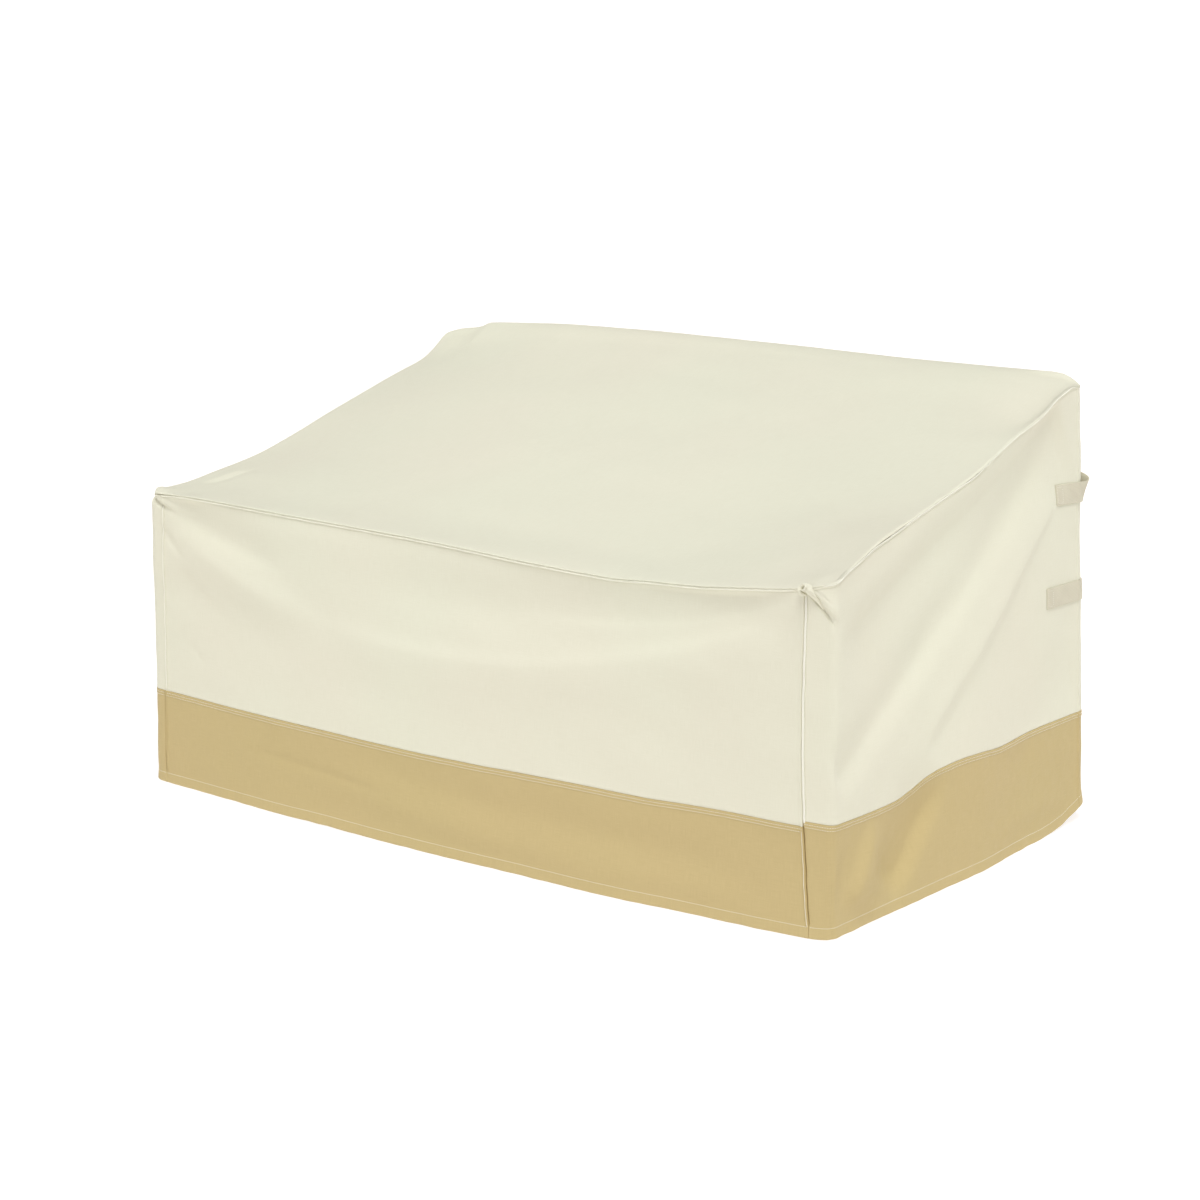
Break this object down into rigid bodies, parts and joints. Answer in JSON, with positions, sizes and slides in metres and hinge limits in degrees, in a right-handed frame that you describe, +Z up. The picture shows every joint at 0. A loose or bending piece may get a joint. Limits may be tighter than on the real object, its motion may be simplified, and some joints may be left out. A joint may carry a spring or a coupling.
{
  "type": "fitted garden bench cover",
  "caption": "Fitted cloth cover for a garden bench, hollow and open below, its top sloping from the low front up to the back, with a contrasting hem band and webbing straps.",
  "frame": {"origin": "floor level, in the middle of the cover's plan", "axes": "+X right along the front, -Y out of the front, +Z up"},
  "size_m": [1.5476, 0.909, 0.8109],
  "materials": {
    "cream_cloth": "coated plain weave, cream, soft sheen",
    "tan_cloth": "coated plain weave, tan, soft sheen",
    "strap_webbing": "flat woven webbing, beige, matt"
  },
  "bodies": {
    "root": {"top_panel": "cream_cloth", "front_panel": "cream_cloth", "right_panel": "cream_cloth", "back_panel": "cream_cloth", "left_panel": "cream_cloth", "front_band": "tan_cloth", "right_band": "tan_cloth", "back_band": "tan_cloth", "left_band": "tan_cloth", "upper_strap": "strap_webbing", "lower_strap": "strap_webbing"}
  },
  "joints": []
}
